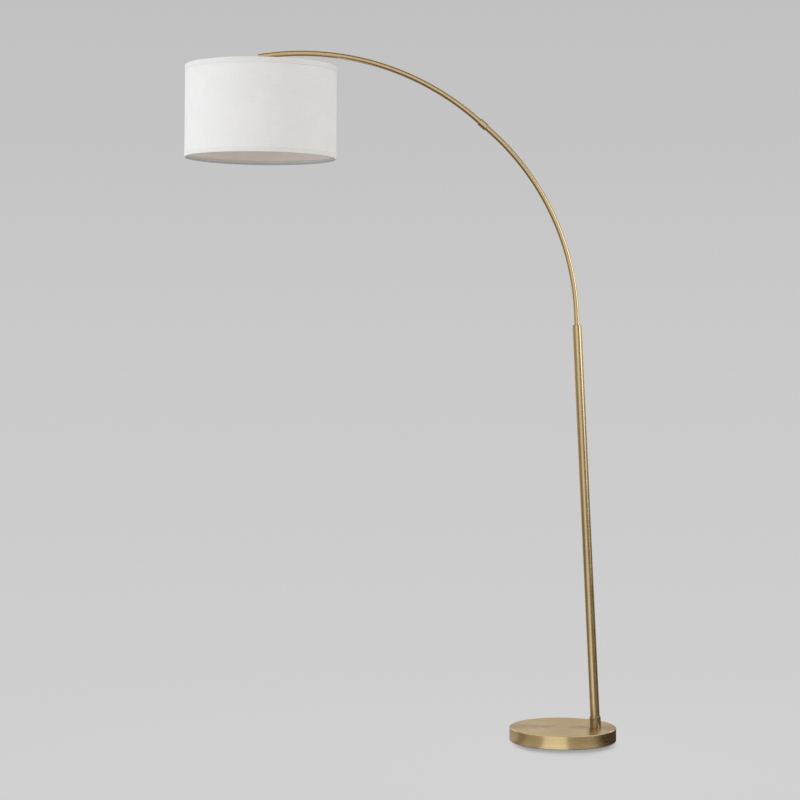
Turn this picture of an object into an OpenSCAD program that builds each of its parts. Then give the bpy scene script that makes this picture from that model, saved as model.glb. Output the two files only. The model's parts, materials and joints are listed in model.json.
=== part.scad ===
// Arc floor lamp with a hanging drum shade, in millimetres, +Z up.
// The origin is the middle of the base's underside, on the floor.
// The arm lies in the XZ plane at rest and reaches toward -X.

/* [Base] */
// Diameter of the base
base_d = 269; // [240:1:340]
// Height of the base above the floor
base_h = 33; // [31:0.5:50]
// Width of the bevel round the base's top edge
base_bevel = 1.4; // [0.4:0.1:2]
// Sheet thickness of the base cover
cover_t = 1.2; // [0.8:0.1:1.6]
// Lift of the cover's lower edge above the floor
cover_lift = 0.8; // [0.5:0.1:1.5]
// Thickness of the felt pad under the base
felt_t = 2; // [1.6:0.1:4]
// Thickness of the steel plate that closes the base
plate_t = 1.5; // [1:0.1:2.5]
// Iron left above the recess of the foot nut
web_t = 6.5; // [5:0.5:9]
// Diameter of the recess that holds the foot nut
recess_d = 34; // [30:1:40]
// Distance of the plate screws from the rim of the base
plate_screw_inset = 18; // [12:1:30]
// Shank diameter of a plate screw
plate_screw_d = 4; // [3:0.5:5]
// Diameter of the hole in the cover for the lead's bushing
outlet_d = 8; // [7:0.5:9]
// Bore of the lead's bushing
outlet_bore = 5.6; // [5:0.1:6]

/* [Pole] */
// Lean of the pole toward the shade, from plumb
pole_lean = 2.75; // [0:0.05:5]
// Distance of the pole from the middle of the base, at the base's top face
pole_x = 83; // [78:1:92]
// Length of the pole from the base to the top of its lip
pole_h = 1016; // [800:1:1200]
// Diameter of the pole tube
pole_d = 23.4; // [21:0.1:26]
// Wall of the pole tube
pole_wall = 1.5; // [1:0.1:1.8]
// Diameter of the collar round the pole's foot
collar_d = 27.8; // [27:0.1:36]
// Height of the collar
collar_h = 27; // [16:0.5:40]
// Distance of the collar's set screw below the collar's top
collar_screw_drop = 6.5; // [4:0.5:10]
// Bearing of the collar's set screw, from +X
collar_screw_turn = 250; // [0:5:355]
// Diameter of the set screws
grub_d = 4; // [3:0.5:5]
// Diameter of the hollow stud that holds the pole down
stud_d = 10; // [9:0.5:11]
// Bore of the hollow stud
stud_bore = 6.6; // [6:0.1:7]
// Height of the threaded plug in the pole's foot
plug_h = 30; // [20:1:50]

/* [Swivel] */
// Largest turn of the arm to either side
swivel_limit = 90; // [30:5:120]
// Length of the bush in the top of the pole
bush_h = 62; // [50:1:90]
// Thickness of the bush's floor
bush_floor = 4; // [3:0.5:8]
// Thickness of the lip on top of the pole
lip_t = 2; // [1.5:0.1:4]
// Depth of the arm tube's end below the top of the pole
tube_entry = 8; // [4:0.5:14]
// Length of the spigot's neck inside the arm tube
neck_in = 24; // [12:1:32]
// Bore of the spigot
spigot_bore = 6.5; // [6:0.1:7]
// Depth of the stop groove in the spigot
groove_depth = 2; // [1.2:0.1:2.4]
// Height of the stop groove above the spigot's lower end
groove_up = 20; // [10:1:30]

/* [Arm] */
// Diameter of the arm tubes
tube_d = 13.5; // [12.5:0.1:14.5]
// Wall of the arm tubes
tube_wall = 1.2; // [0.8:0.1:1.5]
// Straight length between the pole and the first bend
arm_rise = 33; // [33:1:80]
// Bend radius of the lower arc
lower_r = 647; // [450:1:800]
// Sweep of the lower arc
lower_sweep = 46.1; // [35:0.05:55]
// Straight length between the two arcs
join_straight = 40; // [30:1:80]
// Bend radius of the upper arc
upper_r = 668; // [450:1:800]
// Sweep of the upper arc
upper_sweep = 50.4; // [40:0.05:60]
// Diameter of the coupler
coupler_d = 18.2; // [17:0.1:24]
// Length of the coupler
coupler_len = 24.4; // [16:0.1:34]
// Length of a ferrule's end inside its tube
ferrule_in = 10; // [5:0.5:14]
// Diameter of the ferrules' threads inside the coupler
thread_d = 15; // [14.8:0.1:16]
// Bore of the ferrules
ferrule_bore = 7; // [6:0.1:8]
// Length of tube past the drop stem
tube_overhang = 6.2; // [5.8:0.1:12]
// Thickness of the disc that closes the end of the arm
end_disc_t = 0.8; // [0.5:0.1:2]
// Diameter of the lead inside the lamp
lead_d = 4.8; // [3.6:0.1:5.2]

/* [Head] */
// Tilt of the shade and its stem from plumb
head_tilt = 0.63; // [0:0.01:2]
// Drop from the arm's centre line to the top of the shade
shade_drop = 26; // [24:0.5:60]
// Diameter of the drop stem
stem_d = 10; // [9.5:0.1:10.4]
// Bore of the drop stem
stem_bore = 6.6; // [6:0.1:7]
// Thickness of the lock nut on the drop stem
lock_nut_t = 4; // [3:0.5:6]

/* [Shade] */
// Outer diameter of the shade over its trims
shade_d = 381; // [300:1:460]
// Height of the shade
shade_h = 229; // [205:1:320]
// Thickness of the shade's fabric
fabric_t = 0.6; // [0.4:0.1:1]
// Thickness of the stiff liner under the fabric
liner_t = 0.5; // [0.3:0.1:1]
// Width of the trims at the top and bottom edges
trim_w = 13; // [9:0.5:20]
// Thickness of the trims
trim_t = 0.5; // [0.3:0.1:1]
// Diameter of the wire rings in the shade's edges
wire_d = 3.2; // [2.4:0.1:4]
// Width of the lapped seam at the back of the fabric
seam_w = 9; // [6:0.5:14]
// Diameter of the spider's three arms
spider_wire_d = 3; // [2.4:0.1:4]
// Depth of the spider's hub below the top of the shade
hub_drop = 40; // [37:1:60]
// Outer diameter of the spider's hub
hub_d = 60; // [56:1:80]
// Thickness of the spider's hub
hub_t = 2; // [1.5:0.1:3]
// Bend radius of the spider's arms
spider_bend = 9; // [6:0.5:14]

/* [Lamp holder] */
// Outer diameter of the holder's body
holder_d = 38; // [37:0.5:44]
// Wall of the holder's body
holder_wall = 1; // [0.8:0.1:1.2]
// Height of the holder's body above the spider's hub
holder_rise = 22; // [20:0.5:26]
// Height of the domed cap on the holder
cap_h = 14; // [13:0.5:15]
// Length of the holder's skirt below the hub
skirt_h = 26; // [25:0.5:27]
// Diameter of the flange that the hub is clamped against
flange_d = 46; // [44:0.5:52]
// Diameter of the ring nut under the hub
ring_nut_d = 54; // [50:0.5:56]
// Thickness of the ring nut
ring_nut_t = 8; // [5:0.5:12]
// Inner diameter of the screw shell
screw_d = 26.16; // [26:0.02:26.4]
// Wall of the screw shell
screw_wall = 0.5; // [0.4:0.1:0.8]
// Length of the screw shell, which is how far the bulb unscrews
screw_shell_h = 22; // [18:0.5:23]
// Diameter of the switch shaft
shaft_d = 4; // [3:0.1:5]
// Diameter of the switch knob
knob_d = 13; // [11:0.5:14]
// Length of the switch knob
knob_len = 13; // [9:0.5:16]

/* [Bulb] */
// Diameter of the bulb's globe
globe_d = 60; // [50:1:62]
// Wall of the globe
globe_wall = 1; // [0.8:0.1:1.4]
// Length of the bulb from its contact to the end of the globe
bulb_len = 110; // [108:1:125]
// Length of the bulb's screw cap
bulb_cap_len = 24; // [23:0.5:26]

/* [Clearances] */
// Radial gap between pieces that are pressed, screwed or glued together
seat_gap = 0.03; // [0.01:0.01:0.05]
// Radial gap between pieces that turn or slide on each other
run_gap = 0.06; // [0.02:0.01:0.08]
// Gap left in front of a piece's end
end_gap = 0.2; // [0.1:0.05:0.3]

/* [Hidden] */
$fn = 64;

steel = "silver";
brass = "goldenrod";
white = "whitesmoke";
dark = "dimgray";

// A length that reaches past any face it cuts
over = 2;
big = 2000;
// Gap between the lengths that a lead is laid in
hair = 0.02;
// Steps in a full turn of a long bend and round a rod's section
long_bend_fn = 192;
rod_fn = 32;

// Base
cover_r = base_d / 2;
weight_z = felt_t + plate_t;
weight_top = base_h - cover_t;
inside_r = cover_r - cover_t - 0.3;
lead_gap = 0.2;
lead_z = weight_z + lead_d / 2 + lead_gap;
channel_w = 9;
block_size = [24, 16, 10];
block_x = 44;
block_gap = 1;
outlet_z = weight_z + outlet_d / 2 + 1.5;
bushing_flange_r = outlet_d / 2 + 2;
bushing_flange_t = 2;
plate_screws = 4;
plate_head_d = 2 * plate_screw_d;
plate_head_t = 0.7 * felt_t;
plate_screw_len = 12;
felt_gap = 2;

// Pole, measured along its axis from the top face of the base
pole_id = pole_d - 2 * pole_wall;
washer_t = 1.5;
washer_d = 26;
foot_nut_t = 4;
foot_nut_af = 17;
stud_end = 0.8;
recess_top = -(cover_t + web_t);
stud_bottom = recess_top - washer_t - foot_nut_t - stud_end;
bush_bottom = pole_h - bush_h;
spigot_bottom = bush_bottom + bush_floor + end_gap;
spigot_top = pole_h - tube_entry;
groove_z = spigot_bottom + groove_up;
groove_gap = 0.2;
groove_h = grub_d + 2 * groove_gap;
groove_r = tube_d / 2 - groove_depth;
groove_half = swivel_limit + atan((grub_d / 2 + groove_gap) / groove_r);

// Arm, as points and directions in the XZ plane
function toward(a) = [cos(a), 0, sin(a)];
tube_id = tube_d - 2 * tube_wall;
foot = [pole_x, 0, base_h];
rise_dir = 90 + pole_lean;
lower_start = foot + (pole_h + arm_rise) * toward(rise_dir);
lower_centre = lower_start + lower_r * toward(rise_dir + 90);
join_dir = rise_dir + lower_sweep;
join_middle = lower_centre + lower_r * toward(join_dir - 90) + join_straight / 2 * toward(join_dir);
upper_start = join_middle + join_straight / 2 * toward(join_dir);
upper_centre = upper_start + upper_r * toward(join_dir + 90);
tip_dir = join_dir + upper_sweep;
tip = upper_centre + upper_r * toward(tip_dir - 90);
overhang_turn = tube_overhang / upper_r * 180 / PI;
hang = upper_centre + upper_r * toward(tip_dir - 90 - overhang_turn);
butt_gap = 0.4;
coupler_lip = 2.5;
// Play of a ferrule's straight end in its bent tube
ferrule_gap = seat_gap + ferrule_in * ferrule_in / 2 / min(lower_r, upper_r);

// Head, measured from the top of the shade on its axis
hub_top = -hub_drop;
hub_bottom = hub_top - hub_t;
cap_bottom = hub_top + holder_rise;
cap_top = cap_bottom + cap_h;
stem_bottom = cap_top - 6;
core_h = 14;
core_top = cap_bottom - end_gap;
core_bottom = core_top - core_h;
shaft_z = core_top - core_h / 2;
core_d = holder_d - 2 * holder_wall - 2 * seat_gap;
body_bottom = hub_bottom - skirt_h;
flange_t = 2;
contact_t = 1.2;
bulb_top = core_bottom - contact_t - end_gap;
bulb_cap_d = screw_d - 2 * run_gap;
bulb_cap_bottom = bulb_top - bulb_cap_len;
bulb_contact_t = 1.6;
insulator_h = 3;
bulb_cap_top = bulb_top - bulb_contact_t - insulator_h;
sleeve_od = core_d;
sleeve_id = screw_d + 2 * screw_wall + 2 * seat_gap;

// Shade radii, from the outside in
shade_r = shade_d / 2;
fabric_r = shade_r - trim_t;
liner_r = fabric_r - fabric_t;
inner_r = liner_r - liner_t;
ring_r = inner_r - seat_gap - wire_d / 2;
ring_z = trim_t + seat_gap + wire_d / 2;
fold_r = ring_r - wire_d / 2 - seat_gap - trim_t;

// --- Frames ---

// Puts children on the pole's axis, d above the base's top face
module on_pole(d = 0) {
    translate(foot + d * toward(rise_dir)) rotate([0, -pole_lean, 0]) children();
}

// Puts children on a point of the arm, with +Z along direction a
module on_arm(point, a) {
    translate(point) rotate([0, 90 - a, 0]) children();
}

// Puts children on the shade's axis, z above the top of the shade
module on_head(z = 0) {
    translate(hang) rotate([0, head_tilt, 0]) translate([0, 0, z - shade_drop]) children();
}

// Puts children on the switch's axis, r out from the holder's axis, with +Z outwards
module on_switch(r = 0) {
    on_head(shaft_z) rotate([90, 0, 0]) translate([0, 0, r]) children();
}

// --- Shapes ---

module tube(od, id, h) {
    difference() {
        cylinder(d = od, h = h);
        translate([0, 0, -over]) cylinder(d = id, h = h + 2 * over);
    }
}

// A disc with a rounded upper edge of radius r
module soft_disc(d, h, r) {
    rotate_extrude() {
        square([d / 2 - r, h]);
        square([d / 2, h - r]);
        translate([d / 2 - r, h - r]) intersection() {
            circle(r = r);
            square(r);
        }
    }
}

// A cylinder with both edges bevelled by c
module bevelled(d, h, c) {
    rotate_extrude() polygon([
        [0, 0], [d / 2 - c, 0], [d / 2, c], [d / 2, h - c], [d / 2 - c, h], [0, h],
    ]);
}

module hexagon(across_flats, h) {
    cylinder(d = across_flats / cos(30), h = h, $fn = 6);
}

// A set screw with a hex socket in its outer end, from radius r0 to r1
module grub_screw(r0, r1) {
    socket = 0.5 * grub_d;
    difference() {
        translate([0, 0, r0]) cylinder(d = grub_d, h = r1 - r0);
        translate([0, 0, r1 - 0.3 * grub_d]) hexagon(socket, grub_d);
    }
}

// A rod of diameter d in the XZ plane: a bend of radius r round a centre, from one angle by a
// sweep, with a straight length before the bend
module bent_rod(centre, r, from, sweep, d, before = 0) {
    steps = r > 100 ? long_bend_fn : rod_fn;
    translate(centre) rotate([90, 0, 0]) rotate([0, 0, from]) {
        rotate_extrude(angle = sweep, $fn = steps) translate([r, 0]) circle(d = d, $fn = rod_fn);
        if (before > 0) translate([r, 0, 0])
            rotate([sweep > 0 ? 90 : -90, 0, 0]) cylinder(d = d, h = before, $fn = rod_fn);
    }
}

// The lower arc as a rod of diameter d, lengthened at both ends by past
module lower_rod(d, past = 0) {
    more = past / lower_r * 180 / PI;
    bent_rod(lower_centre, lower_r, rise_dir - 90, lower_sweep + more, d, pole_h + arm_rise - spigot_top + past);
}

// The upper arc as a rod of diameter d, lengthened at both ends by past
module upper_rod(d, past = 0) {
    more = past / upper_r * 180 / PI;
    bent_rod(upper_centre, upper_r, join_dir - 90 - more, upper_sweep + 2 * more, d);
}

// Everything below the top face of the base
module below_base() {
    translate([-big / 2, -big / 2, base_h - big]) cube(big);
}

// --- Base ---

module base_cover() {
    color(brass) difference() {
        rotate_extrude() polygon([
            [0, base_h], [0, weight_top], [cover_r - cover_t, weight_top],
            [cover_r - cover_t, cover_lift], [cover_r, cover_lift],
            [cover_r, base_h - base_bevel], [cover_r - base_bevel, base_h],
        ]);
        on_pole(-base_h / 2) cylinder(d = stud_d + 2 * seat_gap, h = base_h);
        outlet_hole(outlet_d);
    }
}

// A hole through the back of the base, where the lead comes out
module outlet_hole(d) {
    translate([0, cover_r - 3 * cover_t, outlet_z]) rotate([-90, 0, 0]) cylinder(d = d, h = 20);
}

module base_weight() {
    channel_h = lead_z + lead_d / 2 + 1;
    color(dark) difference() {
        translate([0, 0, weight_z]) cylinder(r = inside_r, h = weight_top - weight_z);
        on_pole(-base_h) cylinder(d = stud_d + 2 * seat_gap, h = 2 * base_h);
        on_pole(recess_top - base_h) cylinder(d = recess_d, h = base_h);
        translate([block_x, -channel_w / 2, 0]) cube([pole_x - block_x, channel_w, channel_h]);
        translate([block_x - block_size.x / 2 - block_gap, -block_size.y / 2 - block_gap, 0])
            cube([block_size.x + 2 * block_gap, block_size.y + 2 * block_gap, weight_z + block_size.z + 1]);
        mains_channel();
        translate([0, inside_r - 3 * bushing_flange_t, outlet_z]) rotate([-90, 0, 0])
            cylinder(r = bushing_flange_r + 0.5, h = base_d);
        for (i = [1:plate_screws])
            at_plate_screw(i) cylinder(d = plate_screw_d + 2 * seat_gap, h = weight_z + plate_screw_len);
    }
}

// The channel for the mains lead, from the terminal block's side to the outlet
module mains_channel() {
    turn_r = block_x;
    roof = outlet_z + outlet_d / 2;
    translate([turn_r, turn_r, 0]) rotate_extrude(angle = 90)
        translate([-turn_r - channel_w / 2, 0]) square([channel_w, roof]);
    translate([-channel_w / 2, turn_r, 0]) cube([channel_w, cover_r, roof]);
}

module at_plate_screw(i) {
    rotate([0, 0, 45 + 360 / plate_screws * (i - 1)])
        translate([cover_r - plate_screw_inset, 0, 0]) children();
}

module bottom_plate() {
    color(dark) difference() {
        translate([0, 0, felt_t]) cylinder(r = inside_r - 0.5, h = plate_t);
        for (i = [1:plate_screws]) at_plate_screw(i) cylinder(d = plate_screw_d + 2 * seat_gap, h = base_h);
    }
}

// The felt pad that the base stands on, inside the circle of the plate screws
module base_felt() {
    color("darkslategray") cylinder(r = cover_r - plate_screw_inset - plate_head_d / 2 - felt_gap, h = felt_t);
}

module plate_screw(i) {
    slot_w = 0.25 * plate_screw_d;
    color(steel) at_plate_screw(i) difference() {
        union() {
            translate([0, 0, felt_t - plate_head_t]) cylinder(d = plate_head_d, h = plate_head_t);
            translate([0, 0, felt_t]) cylinder(d = plate_screw_d, h = plate_t + plate_screw_len - 2);
        }
        for (a = [0, 90]) rotate([0, 0, a])
            translate([-plate_screw_d / 2, -slot_w / 2, 0])
                cube([plate_screw_d, slot_w, felt_t - plate_head_t / 2]);
    }
}

// A rubber bushing with a groove that the cover's wall snaps into
module lead_bushing() {
    groove_bottom = outlet_d / 2 - seat_gap;
    flange_r = bushing_flange_r;
    wall_sag = flange_r * flange_r / cover_r;
    inner = cover_t + wall_sag + bushing_flange_t;
    bore_r = outlet_bore / 2;
    color("black") translate([0, cover_r, outlet_z]) rotate([-90, 0, 0]) rotate_extrude() polygon([
        [bore_r, -inner], [flange_r - 0.6, -inner], [flange_r - 0.6, -cover_t - wall_sag],
        [groove_bottom, -cover_t - wall_sag], [groove_bottom, 0], [flange_r, 0],
        [flange_r, bushing_flange_t - 0.6], [flange_r - 0.6, bushing_flange_t], [bore_r, bushing_flange_t],
    ]);
}

module terminal_block() {
    wire_hole = lead_d + 2 * seat_gap;
    color(white) difference() {
        translate([block_x - block_size.x / 2, -block_size.y / 2, weight_z]) cube(block_size);
        for (y = [-1, 1] * block_size.y / 4)
            translate([block_x - block_size.x / 4, y, weight_z + block_size.z / 2])
                cylinder(d = 0.25 * block_size.y, h = block_size.z);
        translate([block_x + block_size.x / 4, 0, lead_z]) rotate([0, 90, 0])
            cylinder(d = wire_hole, h = block_size.x);
    }
}

// --- Pole ---

module pole_tube() {
    color(brass) difference() {
        on_pole(-over) tube(pole_d, pole_id, pole_h - lip_t + over);
        below_base();
        on_pole(groove_z) rotate([-90, 0, 0]) cylinder(d = grub_d + 2 * seat_gap, h = pole_d);
    }
}

module pole_collar() {
    color(brass) difference() {
        on_pole(-over) bevelled(collar_d, collar_h + over, 0.6);
        on_pole(-2 * over) cylinder(d = pole_d + 2 * seat_gap, h = collar_h + 4 * over);
        below_base();
        at_collar_screw() cylinder(d = grub_d + 2 * seat_gap, h = collar_d);
    }
}

module at_collar_screw() {
    on_pole(collar_h - collar_screw_drop) rotate([0, 0, collar_screw_turn]) rotate([0, 90, 0]) children();
}

module collar_screw() {
    color(dark) at_collar_screw() grub_screw(pole_d / 2 + seat_gap, collar_d / 2 - 0.3);
}

module foot_plug() {
    color(steel) difference() {
        on_pole(-over) tube(pole_id - 2 * seat_gap, stud_d + 2 * seat_gap, plug_h + over);
        below_base();
    }
}

module foot_stud() {
    color(steel) on_pole(stud_bottom) tube(stud_d, stud_bore, plug_h - stud_bottom);
}

module foot_washer() {
    color(steel) on_pole(recess_top - washer_t) tube(washer_d, stud_d + 2 * seat_gap, washer_t);
}

module foot_nut() {
    color(steel) on_pole(recess_top - washer_t - foot_nut_t) difference() {
        hexagon(foot_nut_af, foot_nut_t);
        translate([0, 0, -over]) cylinder(d = stud_d + 2 * seat_gap, h = foot_nut_t + 2 * over);
    }
}

// The bush in the pole's top, in which the arm turns
module pole_bush() {
    color(brass) difference() {
        on_pole(bush_bottom) {
            cylinder(d = pole_id - 2 * seat_gap, h = bush_h - lip_t);
            translate([0, 0, bush_h - lip_t]) soft_disc(pole_d, lip_t, 0.9);
        }
        on_pole(bush_bottom + bush_floor) cylinder(d = tube_d + 2 * run_gap, h = bush_h);
        on_pole(bush_bottom - over) cylinder(d = spigot_bore, h = bush_h);
        on_pole(groove_z) rotate([-90, 0, 0]) cylinder(d = grub_d + 2 * seat_gap, h = pole_d);
    }
}

// The screw whose tip runs in the spigot's groove and stops the arm at both ends
module stop_screw() {
    color(dark) on_pole(groove_z) rotate([-90, 0, 0])
        grub_screw(groove_r + groove_gap, pole_d / 2 - 0.3);
}

// The lead from the terminal block up to the arm's lead
module pole_lead() {
    lead_bend = 12;
    turn_d = (lead_z + lead_bend * (1 + sin(pole_lean)) - base_h) / cos(pole_lean);
    turn_centre = foot + turn_d * toward(rise_dir) + lead_bend * toward(rise_dir + 90);
    start_x = block_x + block_size.x / 4;
    color(white) {
        bent_rod(turn_centre, lead_bend, -90, rise_dir, lead_d, turn_centre.x - start_x);
        on_pole(turn_d + hair) cylinder(d = lead_d, h = bush_bottom - turn_d - hair);
    }
}

// --- Arm ---

module arm_spigot() {
    color(steel) difference() {
        on_pole(spigot_bottom) {
            cylinder(d = tube_d, h = spigot_top - spigot_bottom);
            cylinder(d = tube_id - 2 * seat_gap, h = spigot_top - spigot_bottom + neck_in);
        }
        on_pole(spigot_bottom - over) cylinder(d = spigot_bore, h = bush_h + neck_in);
        on_pole(groove_z - groove_h / 2) rotate([0, 0, 90 - groove_half])
            rotate_extrude(angle = 2 * groove_half) translate([groove_r, 0]) square([tube_d, groove_h]);
    }
}

module lower_arc_tube() {
    color(brass) difference() {
        lower_rod(tube_d);
        lower_rod(tube_id, over);
    }
}

// One half of the joint between the arcs, pressed into a tube and screwed into the coupler.
// Its +Z points at its tube.
module ferrule(thread_start, thread_end) {
    half = join_straight / 2;
    difference() {
        union() {
            translate([0, 0, thread_start]) cylinder(d = thread_d, h = thread_end - thread_start);
            translate([0, 0, thread_start]) cylinder(d = tube_d, h = half - thread_start);
            cylinder(d = tube_id - 2 * ferrule_gap, h = half + ferrule_in);
        }
        translate([0, 0, -over]) cylinder(d = ferrule_bore, h = half + ferrule_in + 2 * over);
        translate([0, 0, -over]) cylinder(d = tube_d + over, h = over + thread_start);
    }
}

module lower_ferrule() {
    color(brass) on_arm(join_middle, join_dir + 180) ferrule(butt_gap / 2, coupler_len / 2);
}

module upper_ferrule() {
    color(brass) on_arm(join_middle, join_dir) ferrule(butt_gap / 2, coupler_len / 2 - coupler_lip);
}

// The coupler's sleeve, open toward the lower arc and lipped toward the upper one
module arc_coupler() {
    color(brass) on_arm(join_middle, join_dir) translate([0, 0, -coupler_len / 2]) difference() {
        bevelled(coupler_d, coupler_len, 1);
        translate([0, 0, -over]) cylinder(d = thread_d + 2 * seat_gap, h = coupler_len - coupler_lip + over);
        cylinder(d = tube_d + 2 * seat_gap, h = coupler_len + over);
    }
}

module upper_arc_tube() {
    color(brass) difference() {
        upper_rod(tube_d);
        upper_rod(tube_id, over);
        on_head(shade_drop - tube_d) cylinder(d = stem_d + 2 * seat_gap, h = tube_d);
    }
}

module arm_end_disc() {
    color(brass) on_arm(tip, tip_dir) bevelled(tube_d, end_disc_t, 0.2);
}

// The lead from the swivel, through both arcs, and down the drop stem to the holder
module arm_lead() {
    turn_r = 8;
    from_stem = (upper_centre - hang) * toward(-head_tilt);
    turn_at = acos((turn_r - from_stem) / (upper_r - turn_r)) - head_tilt;
    turn_centre = upper_centre + (upper_r - turn_r) * toward(turn_at);
    turn_end = 180 - head_tilt;
    turn_drop = (hang - turn_centre) * toward(90 - head_tilt);
    hair_turn = hair / upper_r * 180 / PI;
    color(white) {
        bent_rod(lower_centre, lower_r, rise_dir - 90, lower_sweep, lead_d, bush_h + arm_rise);
        bent_rod(upper_centre, upper_r, join_dir - 90, turn_at - (join_dir - 90) - hair_turn,
            lead_d, join_straight - hair);
        bent_rod(turn_centre, turn_r, turn_end, turn_at - turn_end, lead_d, shade_drop - turn_drop - core_top);
    }
}

module drop_stem() {
    color(brass) difference() {
        on_head(stem_bottom) tube(stem_d, stem_bore, shade_drop - stem_bottom);
        upper_rod(tube_id, over);
    }
}

module stem_lock_nut() {
    color(brass) on_head(cap_top) difference() {
        hexagon(stem_d + 4, lock_nut_t);
        translate([0, 0, -over]) cylinder(d = stem_d + 2 * seat_gap, h = lock_nut_t + 2 * over);
    }
}

// --- Lamp holder ---

// The dome over the holder, hollow, with a neck for the drop stem
module holder_cap() {
    neck_d = stem_d + 5;
    crown = cap_h - 4;
    wall = 1.2;
    color(brass) on_head(cap_bottom) difference() {
        union() {
            soft_disc(holder_d + 2, crown, 0.8 * crown);
            cylinder(d = neck_d, h = cap_h);
        }
        translate([0, 0, -over]) cylinder(d = stem_d + 2 * seat_gap, h = cap_h + 2 * over);
        soft_disc(holder_d + 2 - 2 * wall, crown - 2 * wall, 0.6 * crown);
    }
}

// The holder's body, with the flange for the hub and the skirt for the ring nut
module holder_body() {
    color(brass) difference() {
        union() {
            on_head(body_bottom) cylinder(d = holder_d, h = cap_bottom - body_bottom);
            on_head(hub_top) cylinder(d = flange_d, h = flange_t);
        }
        on_head(body_bottom - over)
            cylinder(d = holder_d - 2 * holder_wall, h = cap_bottom - body_bottom + 2 * over);
        on_switch() cylinder(d = shaft_d + 2, h = flange_d);
    }
}

// The switch body, which carries the contacts and fills the top of the holder
module holder_core() {
    color("saddlebrown") difference() {
        on_head(core_bottom) cylinder(d = core_d, h = core_h);
        on_switch(core_d / 4) cylinder(d = shaft_d + 2 * run_gap, h = core_d);
    }
}

// The insulating sleeve round the screw shell
module holder_sleeve() {
    sleeve_h = screw_shell_h + 1;
    color("saddlebrown") on_head(core_bottom - sleeve_h) tube(sleeve_od, sleeve_id, sleeve_h);
}

module screw_shell() {
    color(brass) on_head(core_bottom - screw_shell_h) tube(screw_d + 2 * screw_wall, screw_d, screw_shell_h);
}

module centre_contact() {
    color(brass) on_head(core_bottom - contact_t) cylinder(d = 8, h = contact_t);
}

module shade_ring_nut() {
    color(brass) on_head(hub_bottom - ring_nut_t) difference() {
        bevelled(ring_nut_d, ring_nut_t, 0.8);
        translate([0, 0, -over]) cylinder(d = holder_d + 2 * seat_gap, h = ring_nut_t + 2 * over);
    }
}

module switch_shaft() {
    color(brass) on_switch(core_d / 4 + end_gap) cylinder(d = shaft_d, h = holder_d / 2 + 4 + knob_len - core_d / 4 - 3);
}

module switch_knob() {
    ribs = 16;
    rib_r = knob_d / 20;
    color("black") on_switch(holder_d / 2 + 3) difference() {
        union() {
            soft_disc(knob_d, knob_len, 1.5);
            for (i = [1:ribs]) rotate([0, 0, 360 / ribs * i])
                translate([knob_d / 2, 0, 1]) cylinder(r = rib_r, h = knob_len - 3);
        }
        translate([0, 0, -over]) cylinder(d = shaft_d + 2 * seat_gap, h = knob_len - 2 + end_gap + over);
    }
}

// --- Shade ---

// One arm of the spider: out from the hub, then up to the top ring
module spider_arm(d) {
    mid = hub_top - hub_t / 2;
    translate([hub_d / 2 - 2, 0, mid]) rotate([0, 90, 0]) cylinder(d = d, h = ring_r - spider_bend - hub_d / 2 + 2);
    translate([ring_r - spider_bend, 0, mid + spider_bend]) rotate([90, 0, 0])
        rotate([0, 0, -90]) rotate_extrude(angle = 90) translate([spider_bend, 0]) circle(d = d);
    translate([ring_r, 0, mid + spider_bend])
        cylinder(d = d, h = -ring_z - wire_d / 2 - mid - spider_bend);
}

module spider_arms(d) {
    on_head() for (a = [90, 210, 330]) rotate([0, 0, a]) spider_arm(d);
}

module shade_spider() {
    color(steel) difference() {
        union() {
            on_head(hub_bottom) cylinder(d = hub_d, h = hub_t);
            spider_arms(spider_wire_d);
        }
        on_head(hub_bottom - over) cylinder(d = holder_d + 2 * seat_gap, h = hub_t + 2 * over);
    }
}

module wire_ring() {
    rotate_extrude() translate([ring_r, 0]) circle(d = wire_d);
}

module shade_top_ring() {
    color(steel) on_head(-ring_z) wire_ring();
}

module shade_bottom_ring() {
    color(steel) on_head(ring_z - shade_h) wire_ring();
}

module shade_liner() {
    color(white) on_head(trim_t - shade_h) tube(2 * liner_r, 2 * inner_r, shade_h - 2 * trim_t);
}

module shade_fabric() {
    color(white) on_head(trim_t - shade_h) tube(2 * fabric_r, 2 * liner_r, shade_h - 2 * trim_t);
}

// The lapped seam of the fabric, at the back between the two trims
module shade_seam() {
    turn = seam_w / fabric_r * 180 / PI;
    color(white) on_head(trim_w - shade_h) rotate([0, 0, 90 - turn / 2]) rotate_extrude(angle = turn)
        translate([fabric_r, 0]) square([0.6 * trim_t, shade_h - 2 * trim_w]);
}

// A trim's section: outside leg, over the edge, round the wire and back to the liner
module trim_section() {
    wire_end = ring_z + wire_d / 2 + trim_t;
    tuck = wire_end + wire_d;
    polygon([
        [shade_r, 0], [shade_r, -trim_w], [fabric_r, -trim_w], [fabric_r, -trim_t],
        [fold_r + trim_t, -trim_t], [fold_r + trim_t, -wire_end],
        [inner_r, -tuck], [inner_r, -trim_w], [inner_r - trim_t, -trim_w],
        [inner_r - trim_t, -tuck - trim_t / 2], [fold_r, -wire_end - trim_t / 2], [fold_r, 0],
    ]);
}

module shade_top_trim() {
    color(white) difference() {
        on_head() rotate_extrude() trim_section();
        spider_arms(spider_wire_d + 0.6);
    }
}

module shade_bottom_trim() {
    color(white) on_head(-shade_h) mirror([0, 0, 1]) rotate_extrude() trim_section();
}

// --- Bulb ---

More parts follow.
